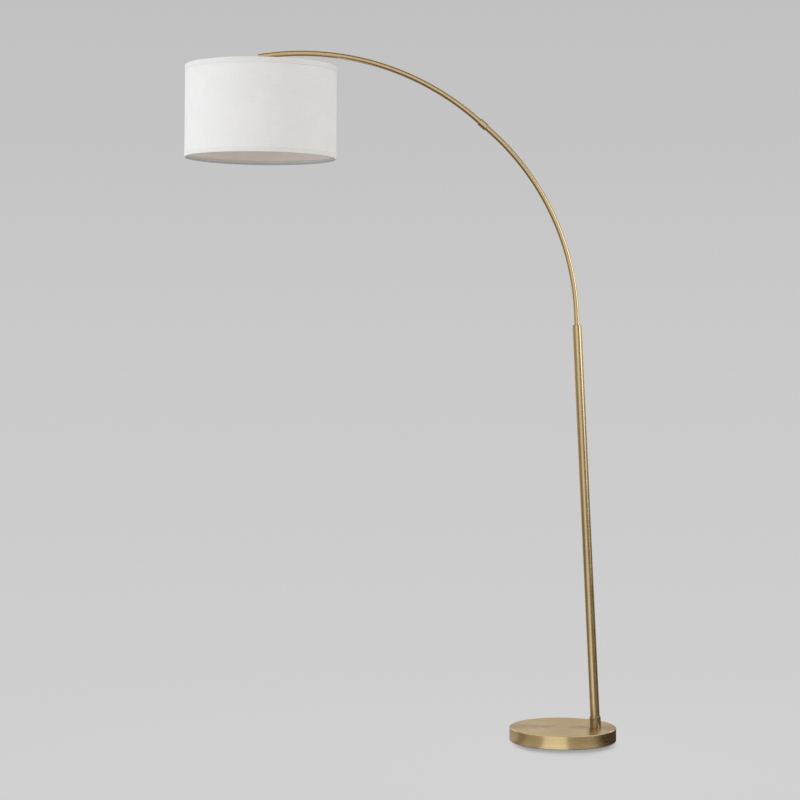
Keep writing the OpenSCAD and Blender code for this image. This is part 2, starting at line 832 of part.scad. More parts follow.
// The globe's outline: a round end and a cone that runs into the cap, thinned by t
module globe_outline(t) {
    r = globe_d / 2 - t;
    neck_r = bulb_cap_d / 2 - 1.6 - t;
    rise = bulb_len - bulb_cap_len + 1 - globe_d / 2;
    tangent = atan2(rise, neck_r) - acos(r / norm([rise, neck_r]));
    intersection() {
        union() {
            circle(r = r);
            polygon([[0, 0], r * [cos(tangent), sin(tangent)], [neck_r, rise], [0, rise]]);
        }
        translate([0, -globe_d]) square([globe_d, globe_d + bulb_len]);
    }
}

module bulb_globe() {
    color(white) on_head(bulb_top - bulb_len + globe_d / 2) rotate_extrude() difference() {
        globe_outline(0);
        globe_outline(globe_wall);
    }
}

module bulb_cap() {
    grooves = 4;
    pitch = 3.6;
    depth = 0.6;
    wall = 0.9;
    h = bulb_cap_top - bulb_cap_bottom;
    color(steel) on_head(bulb_cap_bottom) difference() {
        union() {
            cylinder(d = bulb_cap_d, h = h - 2);
            translate([0, 0, h - 2]) cylinder(d1 = bulb_cap_d, d2 = bulb_cap_d - 3, h = 2);
        }
        translate([0, 0, -over]) cylinder(d = bulb_cap_d - 2 * wall, h = h + over - wall);
        for (i = [0:grooves - 1]) translate([0, 0, 3 + pitch * i]) rotate_extrude()
            polygon([[bulb_cap_d / 2 - depth, pitch / 2], [bulb_cap_d, 0], [bulb_cap_d, pitch]]);
    }
}

module bulb_insulator() {
    color("black") on_head(bulb_cap_top) cylinder(d1 = bulb_cap_d - 3, d2 = 11, h = insulator_h);
}

module bulb_contact() {
    color(steel) on_head(bulb_top - bulb_contact_t) soft_disc(9, bulb_contact_t, 0.8);
}

base_cover();
base_weight();
bottom_plate();
base_felt();
plate_screw(1);  // plate_screw_1
plate_screw(2);  // plate_screw_2
plate_screw(3);  // plate_screw_3
plate_screw(4);  // plate_screw_4
lead_bushing();
terminal_block();
pole_lead();
pole_tube();
pole_collar();
collar_screw();
foot_plug();
foot_stud();
foot_washer();
foot_nut();
pole_bush();
stop_screw();
arm_spigot();
lower_arc_tube();
arc_coupler();
lower_ferrule();
upper_ferrule();
upper_arc_tube();
arm_end_disc();
arm_lead();
drop_stem();
stem_lock_nut();
holder_cap();
holder_body();
holder_core();
holder_sleeve();
screw_shell();
centre_contact();
shade_ring_nut();
shade_spider();
shade_top_ring();
shade_bottom_ring();
shade_liner();
shade_fabric();
shade_seam();
shade_top_trim();
shade_bottom_trim();
switch_shaft();
switch_knob();
bulb_globe();
bulb_cap();
bulb_insulator();
bulb_contact();
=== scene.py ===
# %% [markdown]
# # Dressing an arc floor lamp
#
# A floor lamp of this kind is a heavy round base, a leaning pole, two bent tubes and a hanging drum
# shade. The metalwork is loaded as finished solids, because turned and bent metal is exactly what a
# solid modeller is good at. What is left to do here is the finish of each surface, and the pieces of
# cloth: the shade's linen, its tapes and the felt under the base.

# %% Load the frame
import json
import math

import bpy
import numpy as np
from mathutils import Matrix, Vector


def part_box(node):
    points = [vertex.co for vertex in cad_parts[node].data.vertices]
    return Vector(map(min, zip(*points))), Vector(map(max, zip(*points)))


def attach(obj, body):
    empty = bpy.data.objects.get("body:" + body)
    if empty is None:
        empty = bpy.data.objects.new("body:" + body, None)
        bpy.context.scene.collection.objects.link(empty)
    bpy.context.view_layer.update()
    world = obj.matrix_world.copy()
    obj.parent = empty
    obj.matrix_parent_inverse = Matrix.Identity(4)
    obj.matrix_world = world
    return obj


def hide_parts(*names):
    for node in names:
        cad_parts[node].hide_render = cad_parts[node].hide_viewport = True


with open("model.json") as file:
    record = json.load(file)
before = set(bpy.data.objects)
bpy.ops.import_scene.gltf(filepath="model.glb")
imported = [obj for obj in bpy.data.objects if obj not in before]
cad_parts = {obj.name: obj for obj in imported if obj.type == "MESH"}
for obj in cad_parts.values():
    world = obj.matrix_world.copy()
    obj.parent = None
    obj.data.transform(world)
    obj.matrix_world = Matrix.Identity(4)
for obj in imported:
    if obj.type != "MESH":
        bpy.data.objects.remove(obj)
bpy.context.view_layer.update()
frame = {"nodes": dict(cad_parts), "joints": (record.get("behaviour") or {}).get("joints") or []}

# %% [markdown]
# ## Measures that the frame gives
#
# Every place below is worked out from the loaded solids, so nothing has to be fitted by eye. A round
# piece on a tilted axis is awkward to read from a box, so one helper returns how far a solid's points
# lie from the shade's axis and how far along it they are.

# %% Joints, points and boxes of the solids
def joint(name):
    """The joint of that name in the record."""
    return next(j for j in frame["joints"] if j["name"] == name)


def points_of(name):
    """A solid's points as an (n, 3) array, in metres."""
    mesh = frame["nodes"][name].data
    flat = np.empty(len(mesh.vertices) * 3, np.float32)
    mesh.vertices.foreach_get("co", flat)
    return flat.reshape(-1, 3).astype(float)


def middle_of(name):
    """The middle of a solid's box."""
    low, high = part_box(name)
    return (np.array(low) + np.array(high)) / 2


# %% The axes of the pole and the shade
POLE_AXIS = np.array(joint("arm_swivel")["axis"])
POLE_TOP = np.array(joint("arm_swivel")["pos_m"])
SHADE_UP = -np.array(joint("bulb_unscrew")["axis"])
SHADE_MIDDLE = middle_of("shade_fabric")
SHADE_BACK = np.array([0.0, 1.0, 0.0])
SHADE_SIDE = np.cross(SHADE_BACK, SHADE_UP)


def about_shade(name):
    """Least and greatest distance of a solid's points from the shade's axis, then heights along it."""
    offset = points_of(name) - SHADE_MIDDLE
    height = offset @ SHADE_UP
    distance = np.linalg.norm(offset - np.outer(height, SHADE_UP), axis=1)
    return distance.min(), distance.max(), height.min(), height.max()


print("the shade leans", round(math.degrees(math.acos(SHADE_UP[2])), 2), "degrees from plumb")

# %% [markdown]
# ## The camera
#
# A tall lamp is best looked at from far away through a long lens, which keeps the pole straight and
# the shade's rims shallow. A near camera with a wide lens would make the shade look too large for
# the base. This one stands a little above the middle of the lamp's height and looks almost level, so
# it sees the top of the base and the underside of the shade.

# %% Make the camera
def new_object(name, data):
    """An object in the scene."""
    made = bpy.data.objects.new(name, data)
    bpy.context.scene.collection.objects.link(made)
    return made


CAMERA_PLACE = (-0.411, -5.2513, 0.9875)
CAMERA_LENS_MM = 93.9
CAMERA_SENSOR_MM = 36.0
CAMERA_DIP = math.radians(1.40)

camera_data = bpy.data.cameras.new("camera")
camera_data.lens = CAMERA_LENS_MM
camera_data.sensor_width = CAMERA_SENSOR_MM
camera = new_object("camera", camera_data)
camera.location = CAMERA_PLACE
camera.rotation_euler = (math.radians(90) - CAMERA_DIP, 0, 0)
bpy.context.scene.camera = camera
bpy.context.scene.view_settings.view_transform = "Standard"
print("the camera is", round(math.dist(CAMERA_PLACE, SHADE_MIDDLE), 2), "m from the middle of the shade")

# %% [markdown]
# ## Surfaces from formulas
#
# Each new piece is a grid of points: the first direction runs round or along the piece, the second
# runs across it. One helper turns such a grid into a mesh, so that the shapes themselves can stay
# plain array formulas. Cloth also needs flat coordinates that follow the threads, so the helper
# stores them as a UV map, in metres.

# %% Turn a grid of points into a mesh
def grid(*parts):
    """A grid from one array for each of its coordinates, all stretched to the same shape."""
    return np.stack(np.broadcast_arrays(*parts), axis=-1)


def surface(name, points, flat=None, closed=False):
    """
    A mesh whose corner (i, j) is points[i, j]; each quad joins four neighbouring corners.
    With closed set, the last row joins the first. flat is an (m, n, 2) grid of UV coordinates.
    """
    rows, columns = points.shape[:2]
    index = np.arange(rows * columns).reshape(rows, columns)
    if closed:
        index = np.vstack([index, index[:1]])
    quads = np.stack([index[:-1, :-1], index[1:, :-1], index[1:, 1:], index[:-1, 1:]], axis=-1)
    mesh = bpy.data.meshes.new(name)
    mesh.from_pydata(points.reshape(-1, 3), [], quads.reshape(-1, 4).tolist())
    if flat is not None:
        corners = np.empty(len(mesh.loops), np.int32)
        mesh.loops.foreach_get("vertex_index", corners)
        layer = mesh.uv_layers.new(name="cloth")
        layer.uv.foreach_set("vector", flat.reshape(-1, 2)[corners].astype(np.float32).ravel())
    mesh.shade_smooth()
    return new_object(name, mesh)


def smooth_step(x):
    """0 below 0, 1 above 1, and 3x^2 - 2x^3 between."""
    x = np.clip(x, 0, 1)
    return x * x * (3 - 2 * x)


# %% Stand a piece round the shade's axis
def round_shade(distance, turn, height):
    """
    The point at a distance from the shade's axis, a turn from its right side and a height above
    its middle.
    """
    side = (distance * np.cos(turn))[..., None] * SHADE_SIDE
    back = (distance * np.sin(turn))[..., None] * SHADE_BACK
    return SHADE_MIDDLE + side + back + np.multiply.outer(height, SHADE_UP)


# %% [markdown]
# ## The shade's linen
#
# The linen is one strip, glued to a stiff liner and lapped over itself at the back. It could be a
# plain tube, but then the lap would be missing and the light would slide over it too evenly. So it
# is a strip whose radius is a function of the turn and the height: a step where the lap climbs over
# the first edge, long shallow waves where the glue pulled, and short ones along both edges.

# %% The measures of the linen strip
MM = 0.001
LINEN_THICK = 0.5 * MM
LAP = 10 * MM
LAP_RAMP = 3 * MM
LAP_TURN = math.radians(90)
LAP_LOOSE = 1.1
LONG_WAVE = 0.07 * MM
EDGE_PUCKER = 0.05 * MM
PUCKER_REACH = 10 * MM

linen_in, linen_out, linen_low, linen_high = about_shade("shade_fabric")
linen_radius = (linen_in + linen_out) / 2
linen_length = 2 * math.pi * linen_radius + LAP


def lap_lift(along, thick):
    """
    How far a strip stands off where its end climbs over its start: a little more than its own
    thickness over the last LAP, with a ramp before it.
    """
    return LAP_LOOSE * thick * smooth_step((along - (linen_length - LAP - LAP_RAMP)) / LAP_RAMP)


# %% Weave the strip round the liner
def linen_strip(rows=900, columns=42):
    """
    Radius = middle radius + lap + waves. The waves are a few sines of the turn and the height, and
    a pucker of about 14 mm that fades out 10 mm from both edges.
    """
    along = np.linspace(0, linen_length, rows)[:, None]
    height = np.linspace(linen_low, linen_high, columns)[None, :]
    turn = LAP_TURN + (along - LAP / 2) / linen_radius
    edge = np.minimum(height - linen_low, linen_high - height)
    long_wave = np.sin(5 * turn + 1.1) * np.cos(14 * height + 0.4) + 0.6 * np.sin(11 * turn - 26 * height)
    pucker = np.sin(84 * turn + 1.5 * np.sin(9 * turn)) * np.exp(-edge / PUCKER_REACH)
    radius = linen_radius + lap_lift(along, LINEN_THICK)
    radius = radius + LONG_WAVE * long_wave + EDGE_PUCKER * pucker
    turn, height = np.broadcast_arrays(turn, height)
    return round_shade(radius, turn, height), grid(along, height - linen_low)


def thicken(piece, thickness):
    """Gives a sheet its thickness, half to each side."""
    wall = piece.modifiers.new("wall", "SOLIDIFY")
    wall.thickness = thickness
    wall.offset = 0


shade_linen = surface("shade_linen", *linen_strip())
thicken(shade_linen, LINEN_THICK)

# %% [markdown]
# ## The tapes round the shade's edges
#
# A tape of the same linen is glued round each edge: up the outside, over the wire ring and back down
# the inside, where it has to fit a smaller circle and so puckers a little. A plain band would do
# from outside, but the rounded edge and the inner hem would be missing. So its section is a line
# with rounded corners that is carried round the shade.

# %% A line with rounded corners
def rounded_line(corners, radius, step):
    """
    A polyline whose inner corners are rounded, walked in equal steps. Each corner is replaced by a
    quadratic curve that starts and ends at a distance radius from it along its two sides.
    """
    corners = np.array(corners, float)
    share = np.linspace(0, 1, 9)[:, None]
    parts = [corners[:1]]
    for before, corner, after in zip(corners[:-2], corners[1:-1], corners[2:]):
        start = corner + (before - corner) * min(0.5, radius / np.linalg.norm(before - corner))
        end = corner + (after - corner) * min(0.5, radius / np.linalg.norm(after - corner))
        parts.append((1 - share) ** 2 * start + 2 * share * (1 - share) * corner + share ** 2 * end)
    line = np.vstack(parts + [corners[-1:]])
    walked = np.concatenate([[0], np.cumsum(np.linalg.norm(np.diff(line, axis=0), axis=1))])
    at = np.linspace(0, walked[-1], int(walked[-1] / step) + 1)
    return np.stack([np.interp(at, walked, line[:, k]) for k in (0, 1)], axis=1), at


# %% The section of a tape
TAPE_THICK = 0.32 * MM
TAPE_CORNER = 0.9 * MM
TAPE_STEP = 0.55 * MM
TAPE_OFF_LINEN = 0.03 * MM
INNER_LEG = 0.84


def tape_section(trim, ring, up):
    """
    The tape's middle line as (distance from the axis, height): up the outside of the linen, over
    the edge, round the wire and back along the liner. up is 1 at the top edge and -1 at the
    bottom one. The inner leg is INNER_LEG as long as the outer one.
    """
    fold_in, _, low, high = about_shade(trim)
    wire = about_shade(ring)
    liner_in = about_shade("shade_liner")[0]
    half = TAPE_THICK / 2
    leg = linen_radius + LINEN_THICK / 2 + TAPE_OFF_LINEN + half
    edge, hem = (high, low) if up > 0 else (low, high)
    below_wire = (wire[2] if up > 0 else wire[3]) - up * 2 * half
    tuck = below_wire - up * (wire[1] - wire[0])
    corners = [
        (leg, hem),
        (leg, edge - up * half),
        (fold_in + half, edge - up * half),
        (fold_in + half, below_wire),
        (liner_in - half, tuck),
        (liner_in - half, edge + INNER_LEG * (hem - edge)),
    ]
    return rounded_line(corners, TAPE_CORNER, TAPE_STEP)


# %% Carry the section round the shade
INNER_PUCKER = 0.16 * MM
CUT_BEAD = 0.07 * MM
BEAD_REACH = 0.9 * MM


def tape(name, trim, ring, up, rows=720):
    """
    The section carried round the axis. It is pushed out along its own normal by the lap at the back,
    by puckers on the inner leg and by a bead along both cut edges.
    """
    section, across = tape_section(trim, ring, up)
    along = np.linspace(0, linen_length, rows)[:, None]
    turn = LAP_TURN + (along - LAP / 2) / linen_radius
    tangent = np.gradient(section, axis=0)
    tangent /= np.linalg.norm(tangent, axis=1, keepdims=True)
    normal = np.stack([tangent[:, 1], -tangent[:, 0]], axis=1) * up
    inner_leg = smooth_step((across - 0.62 * across[-1]) / (0.1 * across[-1]))
    pucker = INNER_PUCKER * inner_leg * np.sin(104 * turn + 1.7 * np.sin(13 * turn))
    from_edge = np.minimum(across, across[-1] - across)
    bead = CUT_BEAD * np.exp(-(from_edge / BEAD_REACH) ** 2)
    push = lap_lift(along, TAPE_THICK) + pucker + bead
    distance = section[:, 0] + push * normal[:, 0]
    height = section[:, 1] + push * normal[:, 1]
    turn = np.broadcast_to(turn, distance.shape)
    piece = surface(name, round_shade(distance, turn, height), grid(along, across[None, :]))
    thicken(piece, TAPE_THICK)
    print(name, "is", round(across[-1] / MM, 1), "mm wide")
    return piece


top_tape = tape("shade_top_tape", "shade_top_trim", "shade_top_ring", 1)
bottom_tape = tape("shade_bottom_tape", "shade_bottom_trim", "shade_bottom_ring", -1)

# %% [markdown]
# ## The felt under the base
#
# The felt is a disc cut from a thick sheet. Cut felt has no sharp edge: the wool stands out a little
# all round. So the pad is a profile turned about the vertical axis, with a soft edge, and its radius
# and its underside are broken up by a sum of waves that never repeat.

# %% Cut the felt pad
FELT_ROUNDING = 13
FUZZ = 0.03 * MM


def fuzz(*waves):
    """A sum of sines of unrelated frequencies, from about -1 to 1, that looks like loose fibres."""
    return sum(np.sin(w) for w in waves) / len(waves)


def felt_disc(name, solid, rows=480, columns=60):
    """
    Radius and height follow a flat box with a round rim of FELT_ROUNDING points. Both are pushed
    by fuzz of a few hundredths of a millimetre.
    """
    low, high = (np.array(c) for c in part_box(solid))
    radius = (high[0] - low[0]) / 2
    thick = high[2] - low[2]
    corner = 0.45 * thick
    half_turn = np.linspace(-math.pi / 2, math.pi / 2, FELT_ROUNDING)
    spokes = np.linspace(0.02, 1, (columns - FELT_ROUNDING) // 2) ** 0.7 * (radius - corner)
    rim = radius - corner + corner * np.cos(half_turn)[1:-1]
    out = np.concatenate([[0], spokes, rim, spokes[::-1], [0]])
    rise = thick / 2 * np.sin(half_turn)[1:-1]
    flat_part = np.full(len(spokes) + 1, thick / 2)
    up = np.concatenate([-flat_part, rise, flat_part]) + (low[2] + high[2]) / 2
    turn = np.linspace(0, 2 * math.pi, rows, endpoint=False)[:, None]
    fibres = fuzz(37 * turn + 900 * out, 91 * turn - 1700 * out, 171 * turn + 2 * up / MM)
    distance = out * (1 - 0.0022 * np.abs(fibres) * (out > radius / 2))
    height = np.maximum(up + FUZZ * fibres * (out > 0), low[2])
    points = grid(distance * np.cos(turn), distance * np.sin(turn), height)
    return surface(name, points + np.array([*middle_of(solid)[:2], 0]), closed=True)


felt_pad = felt_disc("felt_pad", "base_felt")

# %% [markdown]
# ## Finishes from nodes
#
# A finish is a material whose colour, roughness and small bumps come from nodes. Most nodes here are
# added in the same way, so one helper adds a node, sets its inputs and links what comes from other
# nodes. Values that are the same all over a surface are set on the shader itself.

# %% Add and link nodes
def add(finish, kind, inputs=None, **settings):
    """
    Adds a node, applies its settings, and fills its inputs with numbers, or with links from other
    nodes' outputs.
    """
    node = finish.node_tree.nodes.new("ShaderNode" + kind)
    for name, value in settings.items():
        setattr(node, name, value)
    for name, value in (inputs or {}).items():
        if isinstance(value, bpy.types.NodeSocket):
            finish.node_tree.links.new(value, node.inputs[name])
        else:
            node.inputs[name].default_value = value
    return node


def new_finish(name, colour, **shader_values):
    """
    A material with one Principled shader. Its values are given by the names of its inputs, with _
    for a space.
    """
    finish = bpy.data.materials.new(name)
    finish.use_nodes = True
    finish.diffuse_color = (*colour, 1)
    shader = finish.node_tree.nodes["Principled BSDF"]
    shader.inputs["Base Color"].default_value = (*colour, 1)
    for key, value in shader_values.items():
        shader.inputs[key.replace("_", " ")].default_value = value
    return finish, shader


# %% Links, numbers and vectors
def link(output, shader, name):
    """Feeds an output into one of the shader's inputs."""
    shader.id_data.links.new(output, shader.inputs[name])


def math_node(finish, operation, a, b=0.0):
    """One number from two."""
    return add(finish, "Math", {0: a, 1: b}, operation=operation).outputs[0]


def times(finish, a, b):
    """The product of two numbers."""
    return math_node(finish, "MULTIPLY", a, b)


def plus(finish, a, b):
    """The sum of two numbers."""
    return math_node(finish, "ADD", a, b)


def vector_node(finish, operation, a, b=(0, 0, 0)):
    """One vector from two, or their dot product."""
    node = add(finish, "VectorMath", {0: a, 1: b}, operation=operation)
    return node.outputs["Value" if operation in ("DOT_PRODUCT", "LENGTH") else "Vector"]


# %% Noise, ranges, tints and bumps
def noise(finish, at, scale, detail=2.0, rough=0.5):
    """Smooth noise from 0 to 1 at a point."""
    values = {"Vector": at, "Scale": scale, "Detail": detail, "Roughness": rough}
    return add(finish, "TexNoise", values).outputs[0]


def crossed_noise(finish, at, lengthways, crossways, detail):
    """The sum of two noises, from 0 to 2, that are stretched in two directions."""
    both = []
    for scale in (lengthways, crossways):
        stretched = add(finish, "Mapping", {"Vector": at, "Scale": scale}).outputs[0]
        both.append(noise(finish, stretched, 1.0, detail))
    return plus(finish, *both)


def spread(finish, value, low, high, from_low=0.3, from_high=0.7):
    """Maps a value from one range to another."""
    names = {"Value": value, "From Min": from_low, "From Max": from_high, "To Min": low, "To Max": high}
    return add(finish, "MapRange", names, clamp=True).outputs[0]


def tint(finish, colour, amount):
    """The colour times an amount."""
    scaled = add(finish, "VectorMath", {0: colour, "Scale": amount}, operation="SCALE")
    return scaled.outputs["Vector"]


def bump(finish, height, distance, strength=1.0):
    """A normal from a height, whose full range stands distance metres high."""
    values = {"Height": height, "Distance": distance, "Strength": strength}
    return add(finish, "Bump", values).outputs["Normal"]


def object_point(finish):
    """The surface point in the piece's own frame."""
    return add(finish, "TexCoord").outputs["Object"]


# %% Put a finish on a solid or a piece
def dress(finish, *names):
    """Gives a finish to solids, by name."""
    for name in names:
        piece = frame["nodes"][name]
        piece.data.materials.clear()
        piece.data.materials.append(finish)


def make_part(piece, body, slot, finish, *replaced):
    """A new piece rides on a body, takes its finish, and stands for the solids it replaces. slot is not used.
    """
    piece.data.materials.append(finish)
    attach(piece, body)
    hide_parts(*replaced)


# %% [markdown]
# ## Brushed brass
#
# A tube or a disc is brushed while it turns, so the scratches run round its axis. They stretch each
# reflection across themselves: along a tube, and out from the centre on a disc. Painting such
# streaks would freeze them in place, so the shader does it with anisotropy, which needs the
# direction of the scratches at each point. On a straight piece that is the axis crossed with the
# point's offset from it, and on a bent tube it is the path's direction crossed with the normal. The
# same offset gives the pattern: noise that changes fast along the axis and slowly round it.

# %% Colours of the brass, and how it is brushed
BRASS = (0.83, 0.615, 0.295)
BRASS_TURNED = (0.85, 0.64, 0.335)
BRASS_COLLAR = (0.69, 0.535, 0.305)
BRASS_EDGE_TINT = (0.90, 0.83, 0.73, 1)
BRUSHED_ROUGH = 0.234
BRUSHED_STRETCH = 0.78
TURNED_ROUGH = 0.24
TURNED_STRETCH = 0.7
SCRATCH_DEPTH = 0.008 * MM
UNEVEN = 0.04
BASE_ROUGH = 0.26
BASE_STRETCH = 0.85
BASE_UNEVEN = 0.10
COUPLER_ROUGH = 0.22


def brushed_shader(name, colour, rough, stretch):
    """Bare metal whose highlights stretch across the scratches: a quarter turn from their direction."""
    return new_finish(
        name, colour, Metallic=1.0, Roughness=rough, Anisotropic=stretch,
        Anisotropic_Rotation=0.25, Specular_Tint=BRASS_EDGE_TINT,
        Coat_Weight=0.3, Coat_Roughness=0.16, Coat_IOR=1.5,
    )


# %% The marks of the brush
def brush_marks(finish, shader, colour, rough, along, aside, slow, uneven):
    """
    Colour, roughness and bump from the two lengths that a scratch holds nearly constant: along the
    axis and away from it. The vector (along, aside, slow angle) is scaled to three sizes of mark.
    """
    at = add(finish, "CombineXYZ", {0: along, 1: aside, 2: slow}).outputs[0]
    wide = noise(finish, at, 38.0)
    lines = noise(finish, at, 420.0, 3.0, 0.6)
    fine = noise(finish, at, 2600.0, 2.0, 0.6)
    streaks = spread(finish, lines, 1 - uneven, 1 + uneven)
    tone = times(finish, streaks, spread(finish, wide, 0.97, 1.03))
    link(tint(finish, colour, tone), shader, "Base Color")
    grain = spread(finish, fine, rough * 0.88, rough * 1.12)
    grain = times(finish, grain, spread(finish, wide, 0.95, 1.05))
    link(grain, shader, "Roughness")
    relief = times(finish, lines, 0.4)
    relief = plus(finish, relief, times(finish, fine, 0.6))
    link(bump(finish, relief, SCRATCH_DEPTH), shader, "Normal")


def scratch_direction(finish, shader, turn):
    """Tells the shader which way the scratches run, from a direction in the piece's own frame."""
    settings = {"vector_type": "VECTOR", "convert_from": "OBJECT", "convert_to": "WORLD"}
    link(add(finish, "VectorTransform", {0: turn}, **settings).outputs[0], shader, "Tangent")


# %% Metal turned about a straight axis
def turned_metal(name, colour, origin, axis, rough=TURNED_ROUGH, stretch=TURNED_STRETCH, uneven=UNEVEN):
    """
    Scratches run along axis x (P - origin); along is the height on the axis and aside the distance
    from it.
    """
    finish, shader = brushed_shader(name, colour, rough, stretch)
    offset = vector_node(finish, "SUBTRACT", object_point(finish), tuple(origin))
    around = vector_node(finish, "CROSS_PRODUCT", tuple(axis), offset)
    along = vector_node(finish, "DOT_PRODUCT", offset, tuple(axis))
    aside = vector_node(finish, "LENGTH", around)
    turn = vector_node(finish, "NORMALIZE", around)
    slow = times(finish, vector_node(finish, "DOT_PRODUCT", turn, (0.9, 0.37, 0.21)), 0.0012)
    brush_marks(finish, shader, colour, rough, along, aside, slow, uneven)
    scratch_direction(finish, shader, turn)
    return finish


# %% Metal tube bent to an arc
def arc_centre(name):
    """
    Centre and radius of a bent tube in the arm's plane. x^2 + z^2 = ax + bz + c is linear in a, b
    and c, so least squares over the tube's points gives them at once.
    """
    x, _, z = points_of(name).T
    a, b, c = np.linalg.lstsq(np.stack([x, z, np.ones_like(x)], axis=1), x * x + z * z, rcond=None)[0]
    return np.array([a / 2, 0, b / 2]), math.sqrt(c + a * a / 4 + b * b / 4)


def bent_tube_metal(name, colour, tube):
    """
    Scratches run along path x N, where the path turns about the arc's centre; along is the angle
    there times the radius.
    """
    finish, shader = brushed_shader(name, colour, BRUSHED_ROUGH, BRUSHED_STRETCH)
    centre, radius = arc_centre(tube)
    coordinates = add(finish, "TexCoord").outputs
    offset = vector_node(finish, "SUBTRACT", coordinates["Object"], tuple(centre))
    path = vector_node(finish, "NORMALIZE", vector_node(finish, "CROSS_PRODUCT", (0, 1, 0), offset))
    turn = vector_node(finish, "NORMALIZE", vector_node(finish, "CROSS_PRODUCT", path, coordinates["Normal"]))
    parts = add(finish, "SeparateXYZ", {0: offset}).outputs
    along = times(finish, math_node(finish, "ARCTAN2", parts[2], parts[0]), radius)
    slow = times(finish, parts[1], 0.05)
    brush_marks(finish, shader, colour, BRUSHED_ROUGH, along, 0.0, slow, UNEVEN)
    scratch_direction(finish, shader, turn)
    return finish


# %% [markdown]
# ## Where each brass piece is brushed
#
# The base, the pole and the two arcs are brushed parts, and the collar, the coupler, the arm's end
# and the holder are turned on a lathe. Each needs the axis that it turned about. One axis for the
# whole lamp would run the scratches the wrong way on every tilted piece, so each axis is taken from
# a joint, from the shade or from the arc that the piece sits on.

# %% Dress the tubes and the base
lower_centre, lower_radius = arc_centre("lower_arc_tube")
upper_centre, upper_radius = arc_centre("upper_arc_tube")
print("arcs", round(lower_radius, 3), "and", round(upper_radius, 3), "m in radius")

base_metal = turned_metal("brass_base", BRASS, (0, 0, 0), (0, 0, 1), BASE_ROUGH, BASE_STRETCH, BASE_UNEVEN)
pole_metal = turned_metal("brass_pole", BRASS, POLE_TOP, POLE_AXIS, BRUSHED_ROUGH, BRUSHED_STRETCH)
dress(base_metal, "base_cover")
dress(pole_metal, "pole_tube")
dress(bent_tube_metal("brass_lower_arc", BRASS, "lower_arc_tube"), "lower_arc_tube")
dress(bent_tube_metal("brass_upper_arc", BRASS, "upper_arc_tube"), "upper_arc_tube")


# %% Dress the turned fittings
def path_at(place, centre):
    """The direction of an arc at a place on it: the arm from its centre, a quarter turn on."""
    arm = place - centre
    return np.array([-arm[2], 0, arm[0]]) / np.linalg.norm(arm)


coupler_middle = middle_of("arc_coupler")
tip_middle = middle_of("arm_end_disc")
switch_axis = np.array(joint("switch_turn")["axis"])
switch_place = np.array(joint("switch_turn")["pos_m"])
coupler_axis = path_at(coupler_middle, lower_centre)
tip_axis = path_at(tip_middle, upper_centre)
coupler_metal = turned_metal("brass_coupler", BRASS_TURNED, coupler_middle, coupler_axis, COUPLER_ROUGH)
tip_metal = turned_metal("brass_tip", BRASS_TURNED, tip_middle, tip_axis)
holder_metal = turned_metal("brass_holder", BRASS_TURNED, SHADE_MIDDLE, SHADE_UP)

dress(turned_metal("brass_pole_fittings", BRASS_COLLAR, POLE_TOP, POLE_AXIS), "pole_collar", "pole_bush")
dress(coupler_metal, "arc_coupler", "lower_ferrule", "upper_ferrule")
dress(tip_metal, "arm_end_disc")
dress(holder_metal, "drop_stem", "stem_lock_nut", "holder_cap", "holder_body")
dress(holder_metal, "screw_shell", "centre_contact", "shade_ring_nut")
dress(turned_metal("brass_switch", BRASS_TURNED, switch_place, switch_axis), "switch_shaft")
print("the coupler is", round(coupler_middle[2], 3), "m above the floor")

# %% [markdown]
# ## Steel, iron and the hidden fittings
#
# The rest of the metal is seen only from below or through the shade: a rough iron casting, a plate
# painted black, zinc on the screws and a white powder coat on the wire. Each has one feature that
# tells it apart: sand grain, rubbed paint, blotchy zinc and orange peel. They could have a node tree
# each, but most of these trees would be alike, so one recipe takes its three noises as arguments.

# %% One recipe for plain skins
def skin(name, colour, tone, rough, relief, strength=1.0, **shader_values):
    """
    A finish from three noises: tone and rough are (scale, detail, least, most) for the brightness
    of the colour and for the roughness, and relief is (scale, detail, depth) for the bump.
    """
    finish, shader = new_finish(name, colour, Roughness=(rough[2] + rough[3]) / 2, **shader_values)
    at = object_point(finish)
    brightness = spread(finish, noise(finish, at, *tone[:2]), *tone[2:])
    link(tint(finish, colour, brightness), shader, "Base Color")
    link(spread(finish, noise(finish, at, *rough[:2]), *rough[2:]), shader, "Roughness")
    link(bump(finish, noise(finish, at, *relief[:2]), relief[2], strength), shader, "Normal")
    return finish


# %% Cast iron
def cast_iron():
    """Sand grain of 1 to 3 mm over broad lumps, darker in the pits."""
    colour = (0.115, 0.112, 0.118)
    finish, shader = new_finish("cast_iron", colour, Metallic=0.55)
    at = object_point(finish)
    grain = noise(finish, at, 700.0, 5.0, 0.65)
    lumps = noise(finish, at, 60.0, 3.0)
    link(tint(finish, colour, spread(finish, grain, 0.72, 1.3)), shader, "Base Color")
    link(spread(finish, lumps, 0.6, 0.85), shader, "Roughness")
    link(bump(finish, plus(finish, grain, lumps), 0.5 * MM), shader, "Normal")
    return finish


dress(cast_iron(), "base_weight")

